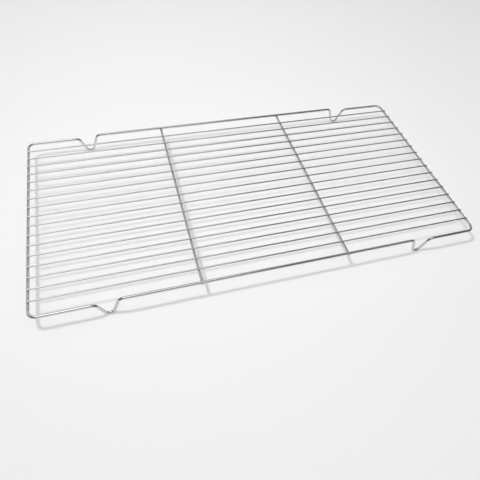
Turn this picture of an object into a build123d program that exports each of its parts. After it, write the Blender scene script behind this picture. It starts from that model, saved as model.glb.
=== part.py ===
from build123d import *
import os

# Welded wire rack that stands on four feet bent out of its own frame.
# X runs along the length, Y from front to back, Z up from the surface that the feet stand on.
# The origin lies on that surface, under the middle of the rack. All sizes are millimetres.

# Plan of the frame, over the outside of its wire
overall_length = 460.0
overall_width = 230.0
corner_radius = 7.0  # bend at a corner, on the wire's centreline

# Wire diameters
frame_wire = 3.0
bar_wire = 3.0
thin_wire = 1.8

# Feet: each is a narrow V, two on each long side
foot_inset = 66.0  # from the centreline of a short side to the middle of a foot
foot_drop = 17.6  # from the centreline of a short side down to a toe's
foot_mouth = 21.0  # width between the bends where a foot leaves its side
foot_toe = 6.5  # width between the bends at the bottom
foot_shoulder_radius = 6.0
foot_toe_radius = 3.5

# Grid: thin wires along the length, on top of two bars and the short sides
wire_pitch = 12.25
least_edge_gap = 15.0  # from a long side to the thin wire next to it, centre to centre, or a little more
bar_spacing = 152.0
end_inset = 0.8  # from the outside of the frame to the cropped ends of bars and thin wires

rail_set_down = 0.2  # depth to which a weld presses a bar into the rail above it

frame_r = frame_wire / 2
bar_r = bar_wire / 2
thin_r = thin_wire / 2

# Centrelines of the frame's sides
side_x = overall_length / 2 - frame_r
side_y = overall_width / 2 - frame_r
foot_x = side_x - foot_inset
bar_x = bar_spacing / 2

# Levels of the centrelines, from the toes up
toe_z = frame_r
end_z = toe_z + foot_drop  # short sides and corners
bar_z = end_z + frame_r - bar_r  # tops of bars and short sides are level
wire_z = end_z + frame_r + thin_r
rail_z = bar_z + bar_r + frame_r - rail_set_down  # long sides between the feet, raised over the bars

wire_count = 1 + int((2 * side_y - 2 * least_edge_gap) / wire_pitch)


def bent_wire(points, radii, diameter):
    """A round wire along straight runs, with one bend radius for each corner."""
    path = FilletPolyline(*points, radius=radii)
    section = Plane(origin=path @ 0, z_dir=path % 0) * Circle(diameter / 2)
    return sweep(section, path=path)


def straight_wire(start, direction, length, diameter):
    """A round wire from a point along a direction, cropped square at both ends."""
    return extrude(Plane(origin=start, z_dir=direction) * Circle(diameter / 2), amount=length)


def make_frame():
    """One wire: a rounded rectangle with a V-shaped foot near each end of both long sides.

    A foot's inner leg goes higher than its outer leg, so the rail between two feet clears the bars.
    Half of the wire is bent from the middle of the back to the middle of the front, and mirrored.
    """
    foot = [
        (foot_x - foot_mouth / 2, rail_z),
        (foot_x - foot_toe / 2, toe_z),
        (foot_x + foot_toe / 2, toe_z),
        (foot_x + foot_mouth / 2, end_z),
    ]
    back = [(0, side_y, rail_z)] + [(x, side_y, z) for x, z in foot] + [(side_x, side_y, end_z)]
    front = [(x, -y, z) for x, y, z in reversed(back)]
    foot_radii = [foot_shoulder_radius, foot_toe_radius, foot_toe_radius, foot_shoulder_radius]
    radii = foot_radii + [corner_radius, corner_radius] + foot_radii
    half = bent_wire(back + front, radii, frame_wire)
    return half + mirror(half, about=Plane.YZ)


def make_bar(x, frame):
    """A bar almost as long as the frame is wide, seated by a saddle at each end under the two rails."""
    length = overall_width - 2 * end_inset
    return straight_wire((x, -length / 2, bar_z), (0, 1, 0), length, bar_wire) - frame


def make_thin_wire(y):
    """A wire almost as long as the frame, which lies on the bars and the short sides."""
    length = overall_length - 2 * end_inset
    return straight_wire((-length / 2, y, wire_z), (1, 0, 0), length, thin_wire)


os.makedirs("parts", exist_ok=True)

frame = make_frame()
export_step(frame, "parts/frame.step")
export_step(make_bar(-bar_x, frame), "parts/cross_bar_left.step")
export_step(make_bar(bar_x, frame), "parts/cross_bar_right.step")
for index in range(wire_count):
    y = (index - (wire_count - 1) / 2) * wire_pitch
    export_step(make_thin_wire(y), f"parts/wire_{index + 1:02d}.step")
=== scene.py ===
import math

import bpy
import numpy as np
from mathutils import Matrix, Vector


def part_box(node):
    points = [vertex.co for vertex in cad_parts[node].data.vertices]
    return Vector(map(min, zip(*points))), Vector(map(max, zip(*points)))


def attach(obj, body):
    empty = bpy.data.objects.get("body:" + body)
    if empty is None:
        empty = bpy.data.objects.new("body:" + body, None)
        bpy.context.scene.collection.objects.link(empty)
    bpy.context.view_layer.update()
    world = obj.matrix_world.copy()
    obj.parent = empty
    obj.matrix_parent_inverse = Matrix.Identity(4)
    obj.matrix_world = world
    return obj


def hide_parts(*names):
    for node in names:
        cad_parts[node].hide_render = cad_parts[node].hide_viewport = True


bl_info = {
    "name": "Wire Grill Rack",
    "version": (1, 0, 0),
    "blender": (4, 5, 0),
    "location": "View3D > Sidebar > Grill Rack",
    "description": "Dresses the solids of a welded wire rack as bright plated wire",
    "category": "Object",
}

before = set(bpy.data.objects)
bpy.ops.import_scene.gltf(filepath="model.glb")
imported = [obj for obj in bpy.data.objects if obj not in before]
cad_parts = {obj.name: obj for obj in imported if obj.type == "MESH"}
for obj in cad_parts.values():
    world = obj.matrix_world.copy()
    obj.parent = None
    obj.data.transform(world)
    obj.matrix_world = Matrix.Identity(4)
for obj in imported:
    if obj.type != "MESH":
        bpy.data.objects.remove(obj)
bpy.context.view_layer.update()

# Boxes of the solids that give the levels and the spacing, as (lowest corner, highest corner)
FRAME_BOX = np.array(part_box("frame"))
BAR_NODES = ("cross_bar_left", "cross_bar_right")
WIRE_NODES = tuple(sorted(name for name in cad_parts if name.startswith("wire_")))
BAR_BOX = np.array(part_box(BAR_NODES[0]))
WIRE_BOX = np.array(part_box(WIRE_NODES[0]))
BAR_DIAMETER = round(BAR_BOX[1, 0] - BAR_BOX[0, 0], 5)
WIRE_DIAMETER = round(WIRE_BOX[1, 1] - WIRE_BOX[0, 1], 5)

BODY = "root"
LENGTHWISE = np.array([1.0, 0.0, 0.0])
TO_BACK = np.array([0.0, 1.0, 0.0])
UP = np.array([0.0, 0.0, 1.0])

# Faces around a wire
THICK_SIDES = 36
THIN_SIDES = 28

# Half extents of the metal squeezed out of a weld, in diameters of the wire on top
WIRE_WELD = np.array([0.50, 0.54, 0.24])
RAIL_WELD = np.array([0.52, 0.48, 0.20])


def linear(hex_colour):
    """sRGB hex to linear: c / 12.92 up to 0.04045, and ((c + 0.055) / 1.055) ** 2.4 above it."""
    srgb = np.array([int(hex_colour[i:i + 2], 16) for i in (1, 3, 5)]) / 255
    curved = ((srgb + 0.055) / 1.055) ** 2.4
    return tuple(np.where(srgb <= 0.04045, srgb / 12.92, curved).tolist())


def length_property(name, description, default):
    """A length in metres that the sidebar shows in scene units."""
    return bpy.props.FloatProperty(
        name=name, description=description, default=default, min=0.0, precision=5, unit="LENGTH"
    )


def power_property(name, description, default):
    """A lamp's power in watts."""
    return bpy.props.FloatProperty(
        name=name, description=description, default=default, min=0.0, unit="POWER"
    )


def colour_property(name, description, hex_colour):
    """A colour that is picked as sRGB and kept as linear RGB."""
    return bpy.props.FloatVectorProperty(
        name=name, description=description, default=linear(hex_colour), min=0.0, max=1.0, subtype="COLOR"
    )


class RackSizes(bpy.types.PropertyGroup):
    """Sizes of the bent frame and of the wires on it."""

    frame_wire: length_property("Frame wire", "Diameter of the frame's wire", 0.0030)
    bar_wire: length_property("Bar wire", "Diameter of the cross bars", BAR_DIAMETER)
    thin_wire: length_property("Thin wire", "Diameter of a thin wire", WIRE_DIAMETER)
    corner_radius: length_property("Corner radius", "Bend at a corner, on the centreline", 0.0070)
    foot_inset: length_property("Foot inset", "From a short side to the middle of a foot", 0.0660)
    foot_mouth: length_property("Foot mouth", "Between the bends where a foot leaves its side", 0.0210)
    foot_toe: length_property("Foot toe", "Between the bends at a foot's bottom", 0.0065)
    shoulder_radius: length_property("Shoulder radius", "Bend where a foot leaves its side", 0.0060)
    toe_radius: length_property("Toe radius", "Bend at a foot's bottom", 0.0035)
    crop_round: length_property("Crop rounding", "Rounding that plating leaves at a cropped end", 0.00025)


class RackFinish(bpy.types.PropertyGroup):
    """Colours of the plating."""

    plate: colour_property("Plate", "Bright chrome on the wires", "#D0D2D1")
    weld: colour_property("Weld", "Chrome over the welds, a little duller", "#C0C2C1")


class RackStage(bpy.types.PropertyGroup):
    """Floor, light and camera."""

    floor: colour_property("Floor", "Matt white board under the rack", "#F0F0F0")
    lamp_power: power_property("Lamp power", "Power of the small lamp above the rack's left", 4.1)
    panel_power: power_property("Panel power", "Power of the wide panel overhead", 1080.0)
    fill_power: power_property("Fill power", "Power of the shadowless fill", 515.0)
    lamp_size: length_property("Lamp size", "Diameter of the small lamp's diffuser", 0.12)
    room_light: bpy.props.FloatProperty(
        name="Room light", description="Strength of the room that the wires mirror", default=0.89, min=0.0
    )
    focal_length: bpy.props.FloatProperty(
        name="Focal length", description="Lens of the camera", default=31.858, unit="CAMERA"
    )


def add_node(tree, kind, inputs=None, **settings):
    """Adds a node with its settings, and gives each named input a value or a link from a socket."""
    node = tree.nodes.new(kind)
    for key, value in settings.items():
        setattr(node, key, value)
    for key, value in (inputs or {}).items():
        if isinstance(value, bpy.types.NodeSocket):
            tree.links.new(value, node.inputs[key])
        else:
            node.inputs[key].default_value = value
    return node


def new_material(name):
    """An empty node material, with its node tree and its Principled shader already on the output."""
    material = bpy.data.materials.new(name)
    material.use_nodes = True
    tree = material.node_tree
    tree.nodes.clear()
    shader = add_node(tree, "ShaderNodeBsdfPrincipled")
    add_node(tree, "ShaderNodeOutputMaterial", {"Surface": shader.outputs["BSDF"]})
    return material, tree, shader


def bright_chrome_on_drawn_wire(colour):
    """Steel wire, drawn through a die and then plated with bright nickel and chrome.

    The eye gets near-mirror bands that follow the wire, slightly veiled in patches where the bath's
    brightener was uneven, and very faint lines left along the wire by the die.
    """
    haze_patch = 0.004  # metres across one patch of veil
    noise_low, noise_high = 0.3, 0.7  # range that the noise mostly keeps to
    clear, veiled = 0.06, 0.14  # roughness
    line_width = 0.0003  # drawn coarser than a real die line, which is too fine to show
    line_length = 0.040
    line_depth = 0.0000012
    material, tree, shader = new_material("bright_chrome_on_drawn_steel_wire")
    place = add_node(tree, "ShaderNodeTexCoord")
    haze = add_node(tree, "ShaderNodeTexNoise", {
        "Vector": place.outputs["Object"], "Scale": 1 / haze_patch, "Detail": 2.0,
    })
    veil = add_node(tree, "ShaderNodeMapRange", {
        "Value": haze.outputs["Fac"], "From Min": noise_low, "From Max": noise_high,
        "To Min": clear, "To Max": veiled,
    })
    along = add_node(tree, "ShaderNodeMapping", {
        "Vector": place.outputs["UV"], "Scale": (1 / line_length, 1 / line_width, 1.0),
    })
    lines = add_node(tree, "ShaderNodeTexNoise", {
        "Vector": along.outputs["Vector"], "Scale": 1.0, "Detail": 1.0,
    })
    relief = add_node(tree, "ShaderNodeBump", {
        "Height": lines.outputs["Fac"], "Strength": 0.5, "Distance": line_depth,
    })
    shader.inputs["Base Color"].default_value = (*colour, 1.0)
    shader.inputs["Metallic"].default_value = 1.0
    tree.links.new(veil.outputs["Result"], shader.inputs["Roughness"])
    tree.links.new(relief.outputs["Normal"], shader.inputs["Normal"])
    return material


def chrome_over_spot_weld(colour):
    """Squeezed-out steel at a spot weld, plated with the rest.

    The eye gets a small soft glint instead of a mirror band, because the metal under the plate is lumpy.
    """
    lump = 0.0006  # metres from one lump to the next
    lump_height = 0.0001
    material, tree, shader = new_material("chrome_over_spot_welded_steel")
    place = add_node(tree, "ShaderNodeTexCoord")
    lumps = add_node(tree, "ShaderNodeTexNoise", {
        "Vector": place.outputs["Object"], "Scale": 1 / lump, "Detail": 1.0,
    })
    relief = add_node(tree, "ShaderNodeBump", {
        "Height": lumps.outputs["Fac"], "Strength": 0.4, "Distance": lump_height,
    })
    shader.inputs["Base Color"].default_value = (*colour, 1.0)
    shader.inputs["Metallic"].default_value = 1.0
    shader.inputs["Roughness"].default_value = 0.22
    tree.links.new(relief.outputs["Normal"], shader.inputs["Normal"])
    return material


def matt_painted_board(colour):
    """A board under flat white paint: the eye gets an even pale ground with no gloss."""
    material, tree, shader = new_material("flat_white_paint_on_board")
    shader.inputs["Base Color"].default_value = (*colour, 1.0)
    shader.inputs["Roughness"].default_value = 0.9
    shader.inputs["Specular IOR Level"].default_value = 0.1
    return material


def unit(vectors):
    """Vectors divided by their own lengths."""
    return vectors / np.linalg.norm(vectors, axis=-1, keepdims=True)


def bent_path(corners, radii, steps=14, lead=0.0004):
    """Closed centreline of a bent wire, as points and tangents: straight runs joined by tangent arcs.

    At a corner, the runs' directions a (in) and b (out) are an angle t apart. The arc starts
    r tan(t / 2) before the corner, and its point at angle p is start + r sin(p) a + r (1 - cos(p)) n,
    with n square to a on the inside of the bend. A short straight lead on either side of each arc keeps
    the bend out of the shading of the straight runs.
    """
    a = unit(corners - np.roll(corners, 1, axis=0))
    b = np.roll(a, -1, axis=0)
    t = np.arccos(np.sum(a * b, axis=1))[:, None]
    n = ((b - a * np.cos(t)) / np.sin(t))[:, None]
    a = a[:, None]
    start = corners[:, None] - (radii[:, None] * np.tan(t / 2))[..., None] * a
    p = (t * np.linspace(0, 1, steps))[..., None]
    r = radii[:, None, None]
    arc = start + r * np.sin(p) * a + r * (1 - np.cos(p)) * n
    tangent = np.cos(p) * a + np.sin(p) * n
    first, last = tangent[:, :1], tangent[:, -1:]
    points = np.concatenate([arc[:, :1] - lead * first, arc, arc[:, -1:] + lead * last], axis=1)
    tangents = np.concatenate([first, tangent, last], axis=1)
    return points.reshape(-1, 3), tangents.reshape(-1, 3)


def cropped_profile(length, radius, rounding, steps=5, lead=0.0004):
    """Distance along a cropped wire and radius there: a quarter circle rounds off each end.

    From angle 0 to 90 degrees the rounding's point is rounding (1 - cos) along and
    radius - rounding + rounding sin out. A short lead after it keeps it out of the long run's shading.
    """
    p = np.linspace(0, np.pi / 2, steps)
    along = np.append(rounding * (1 - np.cos(p)), rounding + lead)
    out = np.append(radius - rounding + rounding * np.sin(p), radius)
    return np.concatenate([along, length - along[::-1]]), np.concatenate([out, out[::-1]])


def wire_surface(name, points, tangents, radii, closed, sides, material):
    """A round wire: at each path point, a circle in the plane square to the tangent.

    With the level direction o = tangent x up and v = o x tangent, a circle's point at angle q is
    centre + radius (cos(q) o + sin(q) v). The circles are joined by four-sided faces, and an open wire
    has a flat face on each end. The UV map gives metres along and around the wire.
    """
    rings = len(points)
    o = unit(np.cross(tangents, UP))
    v = np.cross(o, tangents)
    q = np.linspace(0, 2 * np.pi, sides, endpoint=False)[None, :, None]
    circle = np.cos(q) * o[:, None] + np.sin(q) * v[:, None]
    vertices = (points[:, None] + radii[:, None, None] * circle).reshape(-1, 3)

    spans = rings if closed else rings - 1
    i, j = np.meshgrid(np.arange(spans), np.arange(sides), indexing="ij")
    step_i = np.stack([i, i + 1, i + 1, i], axis=-1).reshape(-1, 4)
    step_j = np.stack([j, j, j + 1, j + 1], axis=-1).reshape(-1, 4)
    quads = (step_i % rings) * sides + step_j % sides
    faces = quads.tolist()

    walked = np.linalg.norm(np.roll(points, -1, axis=0) - points, axis=1)
    along = np.concatenate([[0.0], np.cumsum(walked)])
    around = 2 * np.pi * radii.max() / sides
    uv = np.stack([along[step_i], around * step_j], axis=-1).reshape(-1, 2)
    if not closed:
        ring = np.arange(sides)
        faces += [ring.tolist(), ((rings - 1) * sides + ring[::-1]).tolist()]
        turn = np.stack([np.cos(q.ravel()), np.sin(q.ravel())], axis=-1) * radii[0]
        uv = np.concatenate([uv, turn, turn[::-1] + [along[-2], 0.0]])
    return new_piece(name, vertices, faces, uv, material)


def weld_surface(name, centres, reach, material, steps=7, sides=14, last_latitude=1.2):
    """Squeezed-out metal at the crossings: one flattened ball at each centre.

    At latitude s and longitude q, a point is centre + (rx cos(s) cos(q), ry cos(s) sin(q), rz sin(s)).
    The latitudes stop short of the poles, where a flat face inside the wires closes the ball.
    """
    s = np.linspace(-last_latitude, last_latitude, steps)[:, None]
    q = np.linspace(0, 2 * np.pi, sides, endpoint=False)[None]
    ball = np.stack([np.cos(s) * np.cos(q), np.cos(s) * np.sin(q), np.sin(s) + 0 * q], axis=-1)
    vertices = (centres[:, None] + (ball * reach).reshape(1, -1, 3)).reshape(-1, 3)

    i, j = np.meshgrid(np.arange(steps - 1), np.arange(sides), indexing="ij")
    k = (j + 1) % sides
    low, high = i * sides, (i + 1) * sides
    band = np.stack([low + j, low + k, high + k, high + j], axis=-1).reshape(-1, 4)
    ring = np.arange(sides)
    ends = np.stack([ring[::-1], (steps - 1) * sides + ring])
    first = (np.arange(len(centres)) * steps * sides)[:, None, None]
    quads = (first + band).reshape(-1, 4)
    caps = (first + ends).reshape(-1, sides)
    uv = vertices[np.concatenate([quads.ravel(), caps.ravel()])][:, :2]
    return new_piece(name, vertices, quads.tolist() + caps.tolist(), uv, material)


def new_piece(name, vertices, faces, uv, material):
    """A smooth mesh object at the origin, which rides on the rack and wears the material it is given."""
    mesh = bpy.data.meshes.new(name)
    mesh.from_pydata(vertices.tolist(), [], faces)
    mesh.polygons.foreach_set("use_smooth", np.ones(len(mesh.polygons), dtype=bool))
    layer = mesh.uv_layers.new(name="wire_metres")
    layer.data.foreach_set("uv", uv.astype(np.float32).ravel())
    mesh.materials.append(material)
    if mesh.validate():
        raise RuntimeError(f"{name}: the surface had faults")
    piece = bpy.data.objects.new(name, mesh)
    bpy.context.scene.collection.objects.link(piece)
    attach(piece, BODY)
    return piece


def shared_material(name, make, colour):
    """The finish of that name, made on its first use."""
    return bpy.data.materials.get(name) or make(tuple(colour))


def plate():
    """The wires' plating."""
    colour = bpy.context.scene.rack_finish.plate
    return shared_material("bright_chrome_on_drawn_steel_wire", bright_chrome_on_drawn_wire, colour)


def levels():
    """Half extents of the frame's centreline and heights of its toes, short sides and rails."""
    r = bpy.context.scene.rack_sizes.frame_wire / 2
    side_x, side_y, rail_z = FRAME_BOX[1] - r
    return side_x, side_y, FRAME_BOX[0, 2] + r, WIRE_BOX[0, 2] - r, rail_z


def straight_piece(node, start, direction, length, diameter, sides):
    """A cropped wire from its start along a direction, in place of its node."""
    along, radii = cropped_profile(length, diameter / 2, bpy.context.scene.rack_sizes.crop_round)
    points = start + along[:, None] * direction
    tangents = np.tile(direction, (len(along), 1))
    piece = wire_surface(f"plated_{node}", points, tangents, radii, False, sides, plate())
    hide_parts(node)


class RACK_OT_frame(bpy.types.Operator):
    """Bend the frame: a rounded rectangle whose long sides rise between their two V-shaped feet"""

    bl_idname = "rack.frame"
    bl_label = "Frame"

    def execute(self, context):
        sizes = context.scene.rack_sizes
        side_x, side_y, toe_z, end_z, rail_z = levels()
        foot_x = side_x - sizes.foot_inset
        mouth, toe = sizes.foot_mouth / 2, sizes.foot_toe / 2
        # Corners of the right half of the front side, from the rail out to the frame's corner
        x = np.array([foot_x - mouth, foot_x - toe, foot_x + toe, foot_x + mouth, side_x])
        z = np.array([rail_z, toe_z, toe_z, end_z, end_z])
        bends = np.array([
            sizes.shoulder_radius, sizes.toe_radius, sizes.toe_radius, sizes.shoulder_radius,
            sizes.corner_radius,
        ])
        right = np.stack([x, np.full(len(x), -side_y), z], axis=1)
        front = np.concatenate([right[::-1] * [-1, 1, 1], right])
        back = front * [-1, -1, 1]
        corners = np.concatenate([front, back])
        radii = np.tile(np.concatenate([bends[::-1], bends]), 2)
        points, tangents = bent_path(corners, radii)
        wire = np.full(len(points), sizes.frame_wire / 2)
        piece = wire_surface("bent_frame", points, tangents, wire, True, THICK_SIDES, plate())
        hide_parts("frame")
        return {"FINISHED"}


class RACK_OT_cross_bars(bpy.types.Operator):
    """Lay the two bars that run from front to back under the rails"""

    bl_idname = "rack.cross_bars"
    bl_label = "Cross bars"

    def execute(self, context):
        diameter = context.scene.rack_sizes.bar_wire
        for node in BAR_NODES:
            low, high = np.array(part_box(node))
            start = np.array([(low[0] + high[0]) / 2, low[1], low[2] + diameter / 2])
            straight_piece(node, start, TO_BACK, high[1] - low[1], diameter, THICK_SIDES)
        return {"FINISHED"}


class RACK_OT_thin_wires(bpy.types.Operator):
    """Lay the thin wires that run along the rack on its bars and short sides"""

    bl_idname = "rack.thin_wires"
    bl_label = "Thin wires"

    def execute(self, context):
        diameter = context.scene.rack_sizes.thin_wire
        for node in WIRE_NODES:
            low, high = np.array(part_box(node))
            start = np.array([low[0], (low[1] + high[1]) / 2, (low[2] + high[2]) / 2])
            straight_piece(node, start, LENGTHWISE, high[0] - low[0], diameter, THIN_SIDES)
        return {"FINISHED"}


class RACK_OT_welds(bpy.types.Operator):
    """Put the squeezed-out metal of the spot welds at every crossing"""

    bl_idname = "rack.welds"
    bl_label = "Welds"

    def execute(self, context):
        sizes = context.scene.rack_sizes
        colour = context.scene.rack_finish.weld
        material = shared_material("chrome_over_spot_welded_steel", chrome_over_spot_weld, colour)
        side_x, side_y, _, _, rail_z = levels()
        bar_x = [np.mean(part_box(node), axis=0)[0] for node in BAR_NODES]
        wire_y = [np.mean(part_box(node), axis=0)[1] for node in WIRE_NODES]
        # Thin wires on the short sides and bars, then bars under the rails
        seats = self.crossings([-side_x, *bar_x, side_x], wire_y, WIRE_BOX[0, 2])
        weld_surface("wire_welds", seats, sizes.thin_wire * WIRE_WELD, material)
        seats = self.crossings(bar_x, [-side_y, side_y], rail_z - sizes.frame_wire / 2)
        weld_surface("rail_welds", seats, sizes.frame_wire * RAIL_WELD, material)
        return {"FINISHED"}

    def crossings(self, x_places, y_places, z):
        """Every pair of an X and a Y place, at one height."""
        x, y = np.meshgrid(x_places, y_places)
        return np.stack([x.ravel(), y.ravel(), np.full(x.size, z)], axis=1)


class RACK_OT_stage(bpy.types.Operator):
    """Set out the floor, the lamps, the room that the wires mirror, and the camera"""

    bl_idname = "rack.stage"
    bl_label = "Stage"

    FLOOR_HALF = 4.5  # metres from the rack to an edge of the board

    # The small lamp draws the crisp shadows, the panel the soft ones, and the fill draws none
    LAMP_PLACE, LAMP_TARGET = (-0.365, 0.0, 0.886), (1.2, 0.3, 0.0)
    OVERHEAD, BELOW = (-1.00, 0.40, 12.0), (-1.00, 0.40, 0.0)
    PANEL_SIZE = 24.0
    FILL_SIZE = 1.60

    # The room by direction: X from -1 at the left to 1 at the right, Y from -1 in front to 1 behind
    PEAK = 4.0  # radiance at the white end of the ramps, where the room light is 1
    CEILING = (  # radiance by X
        (-1.0, 0.95), (-0.50, 1.60), (-0.27, 3.70), (-0.14, 3.70), (-0.07, 3.40),
        (0.0, 2.60), (0.19, 2.30), (0.28, 0.80), (0.36, 0.60), (0.45, 0.74),
        (0.55, 0.84), (0.60, 0.42), (0.65, 0.22), (1.0, 0.22),
    )
    WALL = (  # radiance by X
        (-1.0, 0.35), (-0.80, 0.38), (-0.35, 0.50), (-0.25, 0.75), (-0.05, 0.67),
        (0.05, 0.58), (0.30, 0.66), (0.45, 0.80), (0.66, 0.75), (0.85, 0.60), (1.0, 0.50),
    )
    CEILING_END, WALL_START = 0.40, 0.55  # Y
    BEAM = ((0.27, 0.0), (0.35, PEAK), (0.48, PEAK), (0.53, 0.0))  # cover by Y: the peak hides all
    BEAM_EDGE, BEAM_FULL = -0.45, -0.10  # X
    CORNER_FULL_X, CORNER_EDGE_X = -0.42, -0.27
    CORNER_FULL_Y, CORNER_EDGE_Y = 0.20, 0.36
    DARK_GREY = (0.02, 0.02, 0.02, 1.0)  # beam and corner
    FRONT_DARKEST, FRONT_END = -0.40, 0.10  # Y
    FRONT_SHARE = 0.14  # part of its light that the room keeps where the front is darkest
    BACKDROP_TOP = 0.30  # Z
    BACKDROP_LOW, BACKDROP_HIGH = 0.58, 0.82  # grey at the floor and at the top

    CAMERA_PLACE = (-0.127412, -0.314314, 0.362048)
    CAMERA_TURN = (37.1585, -4.8153, -16.0449)  # degrees about X, Y and Z
    SENSOR_WIDTH = 36.0  # millimetres
    NEAR, FAR = 0.01, 50.0

    def execute(self, context):
        scene = context.scene
        stage = scene.rack_stage
        self.lay_floor(scene, stage.floor)
        self.hang_lamp(scene, "lamp", self.LAMP_PLACE, self.LAMP_TARGET, stage.lamp_size, stage.lamp_power)
        self.hang_lamp(scene, "panel", self.OVERHEAD, self.BELOW, self.PANEL_SIZE, stage.panel_power)
        fill = self.hang_lamp(scene, "fill", self.OVERHEAD, self.BELOW, self.FILL_SIZE, stage.fill_power)
        fill.use_shadow = False
        self.light_room(scene, stage.room_light)
        self.set_camera(scene, stage.focal_length)
        scene.view_settings.view_transform = "Standard"
        return {"FINISHED"}

    def lay_floor(self, scene, colour):
        """A flat square board at the level of the toes."""
        h = self.FLOOR_HALF
        mesh = bpy.data.meshes.new("floor")
        mesh.from_pydata([(-h, -h, 0), (h, -h, 0), (h, h, 0), (-h, h, 0)], [], [(0, 1, 2, 3)])
        mesh.materials.append(matt_painted_board(tuple(colour)))
        floor = bpy.data.objects.new("floor", mesh)
        scene.collection.objects.link(floor)

    def hang_lamp(self, scene, name, place, target, size, power):
        """A round diffuser that faces a target. Only the floor shows it: the wires mirror the room."""
        light = bpy.data.lights.new(name, "AREA")
        light.shape = "DISK"
        light.size = size
        light.energy = power
        lamp = bpy.data.objects.new(name, light)
        lamp.location = place
        lamp.rotation_euler = (Vector(target) - Vector(place)).to_track_quat("-Z", "Y").to_euler()
        lamp.visible_glossy = False
        scene.collection.objects.link(lamp)
        return light

    def set_camera(self, scene, focal_length):
        """A camera at the viewing angle, with no depth of field."""
        lens = bpy.data.cameras.new("camera")
        lens.sensor_width = self.SENSOR_WIDTH
        lens.lens = focal_length
        lens.clip_start, lens.clip_end = self.NEAR, self.FAR
        camera = bpy.data.objects.new("camera", lens)
        camera.location = self.CAMERA_PLACE
        camera.rotation_euler = tuple(math.radians(angle) for angle in self.CAMERA_TURN)
        scene.collection.objects.link(camera)
        scene.camera = camera

    def light_room(self, scene, strength):
        """The room by direction, as the wires mirror it; the camera itself sees a plain pale backdrop.

        The ceiling is bright to the left and dim to the right, and the wall behind is dimmest at its left
        end. A dark beam runs to the right where they meet. The front is dark, and so is the ceiling's left
        corner, which the bends mirror. The backdrop gets lighter from the floor up.
        """
        world = bpy.data.worlds.new("room")
        scene.world = world
        world.use_nodes = True
        world.cycles_visibility.diffuse = False
        tree = world.node_tree
        tree.nodes.clear()
        direction = add_node(tree, "ShaderNodeTexCoord")
        axes = add_node(tree, "ShaderNodeSeparateXYZ", {"Vector": direction.outputs["Generated"]})
        x, y, z = (axes.outputs[name] for name in "XYZ")

        # Places from 0 to 1 on the ramps
        across = add_node(tree, "ShaderNodeMapRange", {"Value": x, "From Min": -1.0, "From Max": 1.0})
        deep = add_node(tree, "ShaderNodeMapRange", {"Value": y, "From Min": -1.0, "From Max": 1.0})
        ceiling = add_node(tree, "ShaderNodeValToRGB", {"Fac": across.outputs["Result"]})
        wall = add_node(tree, "ShaderNodeValToRGB", {"Fac": across.outputs["Result"]})
        beam = add_node(tree, "ShaderNodeValToRGB", {"Fac": deep.outputs["Result"]})
        self.set_stops(ceiling, self.CEILING)
        self.set_stops(wall, self.WALL)
        self.set_stops(beam, self.BEAM)

        behind = add_node(tree, "ShaderNodeMapRange", {
            "Value": y, "From Min": self.CEILING_END, "From Max": self.WALL_START,
        })
        plain = add_node(tree, "ShaderNodeMix", {
            "Factor": behind.outputs["Result"], "A": ceiling.outputs["Color"], "B": wall.outputs["Color"],
        }, data_type="RGBA")

        # Cover by the beam and the corner, from 0 to 1
        beam_across = add_node(tree, "ShaderNodeMapRange", {
            "Value": x, "From Min": self.BEAM_EDGE, "From Max": self.BEAM_FULL,
        })
        beam_cover = add_node(tree, "ShaderNodeMath", {
            0: beam.outputs["Color"], 1: beam_across.outputs["Result"],
        }, operation="MULTIPLY")
        corner_across = add_node(tree, "ShaderNodeMapRange", {
            "Value": x, "From Min": self.CORNER_FULL_X, "From Max": self.CORNER_EDGE_X,
            "To Min": 1.0, "To Max": 0.0,
        })
        corner_deep = add_node(tree, "ShaderNodeMapRange", {
            "Value": y, "From Min": self.CORNER_FULL_Y, "From Max": self.CORNER_EDGE_Y,
            "To Min": 1.0, "To Max": 0.0,
        })
        corner_cover = add_node(tree, "ShaderNodeMath", {
            0: corner_across.outputs["Result"], 1: corner_deep.outputs["Result"],
        }, operation="MULTIPLY")
        cover = add_node(tree, "ShaderNodeMath", {
            0: beam_cover.outputs["Value"], 1: corner_cover.outputs["Value"],
        }, operation="MAXIMUM")
        room = add_node(tree, "ShaderNodeMix", {
            "Factor": cover.outputs["Value"], "A": plain.outputs["Result"], "B": self.DARK_GREY,
        }, data_type="RGBA")

        full = self.PEAK * strength
        front = add_node(tree, "ShaderNodeMapRange", {
            "Value": y, "From Min": self.FRONT_DARKEST, "From Max": self.FRONT_END,
            "To Min": self.FRONT_SHARE * full, "To Max": full,
        })
        mirrored = add_node(tree, "ShaderNodeBackground", {
            "Color": room.outputs["Result"], "Strength": front.outputs["Result"],
        })

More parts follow.
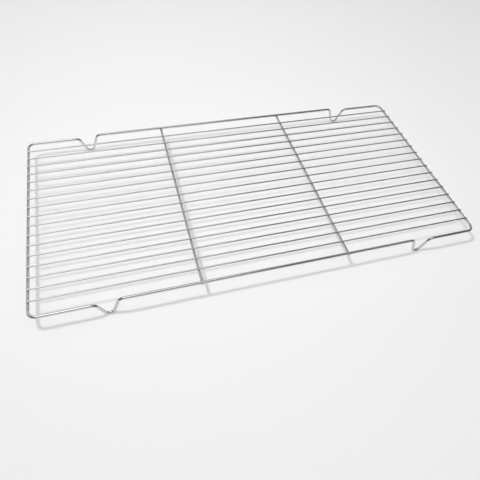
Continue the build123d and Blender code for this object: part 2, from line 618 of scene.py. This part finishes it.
        pale = add_node(tree, "ShaderNodeMapRange", {
            "Value": z, "From Min": 0.0, "From Max": self.BACKDROP_TOP,
            "To Min": self.BACKDROP_LOW, "To Max": self.BACKDROP_HIGH,
        })
        backdrop = add_node(tree, "ShaderNodeBackground", {
            "Color": pale.outputs["Result"], "Strength": 1.0,
        })
        ray = add_node(tree, "ShaderNodeLightPath")
        seen = add_node(tree, "ShaderNodeMixShader", {
            0: ray.outputs["Is Camera Ray"],
            1: mirrored.outputs["Background"],
            2: backdrop.outputs["Background"],
        })
        add_node(tree, "ShaderNodeOutputWorld", {"Surface": seen.outputs["Shader"]})

    def set_stops(self, node, stops):
        """Gives a ramp its stops: each is a direction's component from -1 to 1 and the radiance there."""
        ramp = node.color_ramp
        while len(ramp.elements) < len(stops):
            ramp.elements.new(1.0)
        for element, (component, radiance) in zip(ramp.elements, stops):
            grey = radiance / self.PEAK
            element.position = (component + 1) / 2
            element.color = (grey, grey, grey, 1.0)


class RACK_PT_panel(bpy.types.Panel):
    """Lists the rack's pieces and their settings in the sidebar"""

    bl_idname = "RACK_PT_panel"
    bl_label = "Grill Rack"
    bl_space_type = "VIEW_3D"
    bl_region_type = "UI"
    bl_category = "Grill Rack"

    def draw(self, context):
        layout = self.layout
        for operator in OPERATORS:
            layout.operator(operator.bl_idname)
        for group in (context.scene.rack_sizes, context.scene.rack_finish, context.scene.rack_stage):
            box = layout.box()
            for key in group.__annotations__:
                box.prop(group, key)


OPERATORS = (RACK_OT_frame, RACK_OT_cross_bars, RACK_OT_thin_wires, RACK_OT_welds, RACK_OT_stage)
CLASSES = (RackSizes, RackFinish, RackStage, *OPERATORS, RACK_PT_panel)


def register():
    """Registers the classes and hangs the settings on the scene."""
    for cls in CLASSES:
        bpy.utils.register_class(cls)
    bpy.types.Scene.rack_sizes = bpy.props.PointerProperty(type=RackSizes)
    bpy.types.Scene.rack_finish = bpy.props.PointerProperty(type=RackFinish)
    bpy.types.Scene.rack_stage = bpy.props.PointerProperty(type=RackStage)


def unregister():
    """Takes the settings off the scene and unregisters the classes."""
    del bpy.types.Scene.rack_stage
    del bpy.types.Scene.rack_finish
    del bpy.types.Scene.rack_sizes
    for cls in reversed(CLASSES):
        bpy.utils.unregister_class(cls)


def main():
    """Registers the add-on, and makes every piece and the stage."""
    register()
    bpy.ops.rack.frame()
    bpy.ops.rack.cross_bars()
    bpy.ops.rack.thin_wires()
    bpy.ops.rack.welds()
    bpy.ops.rack.stage()


if __name__ == "__main__":
    main()
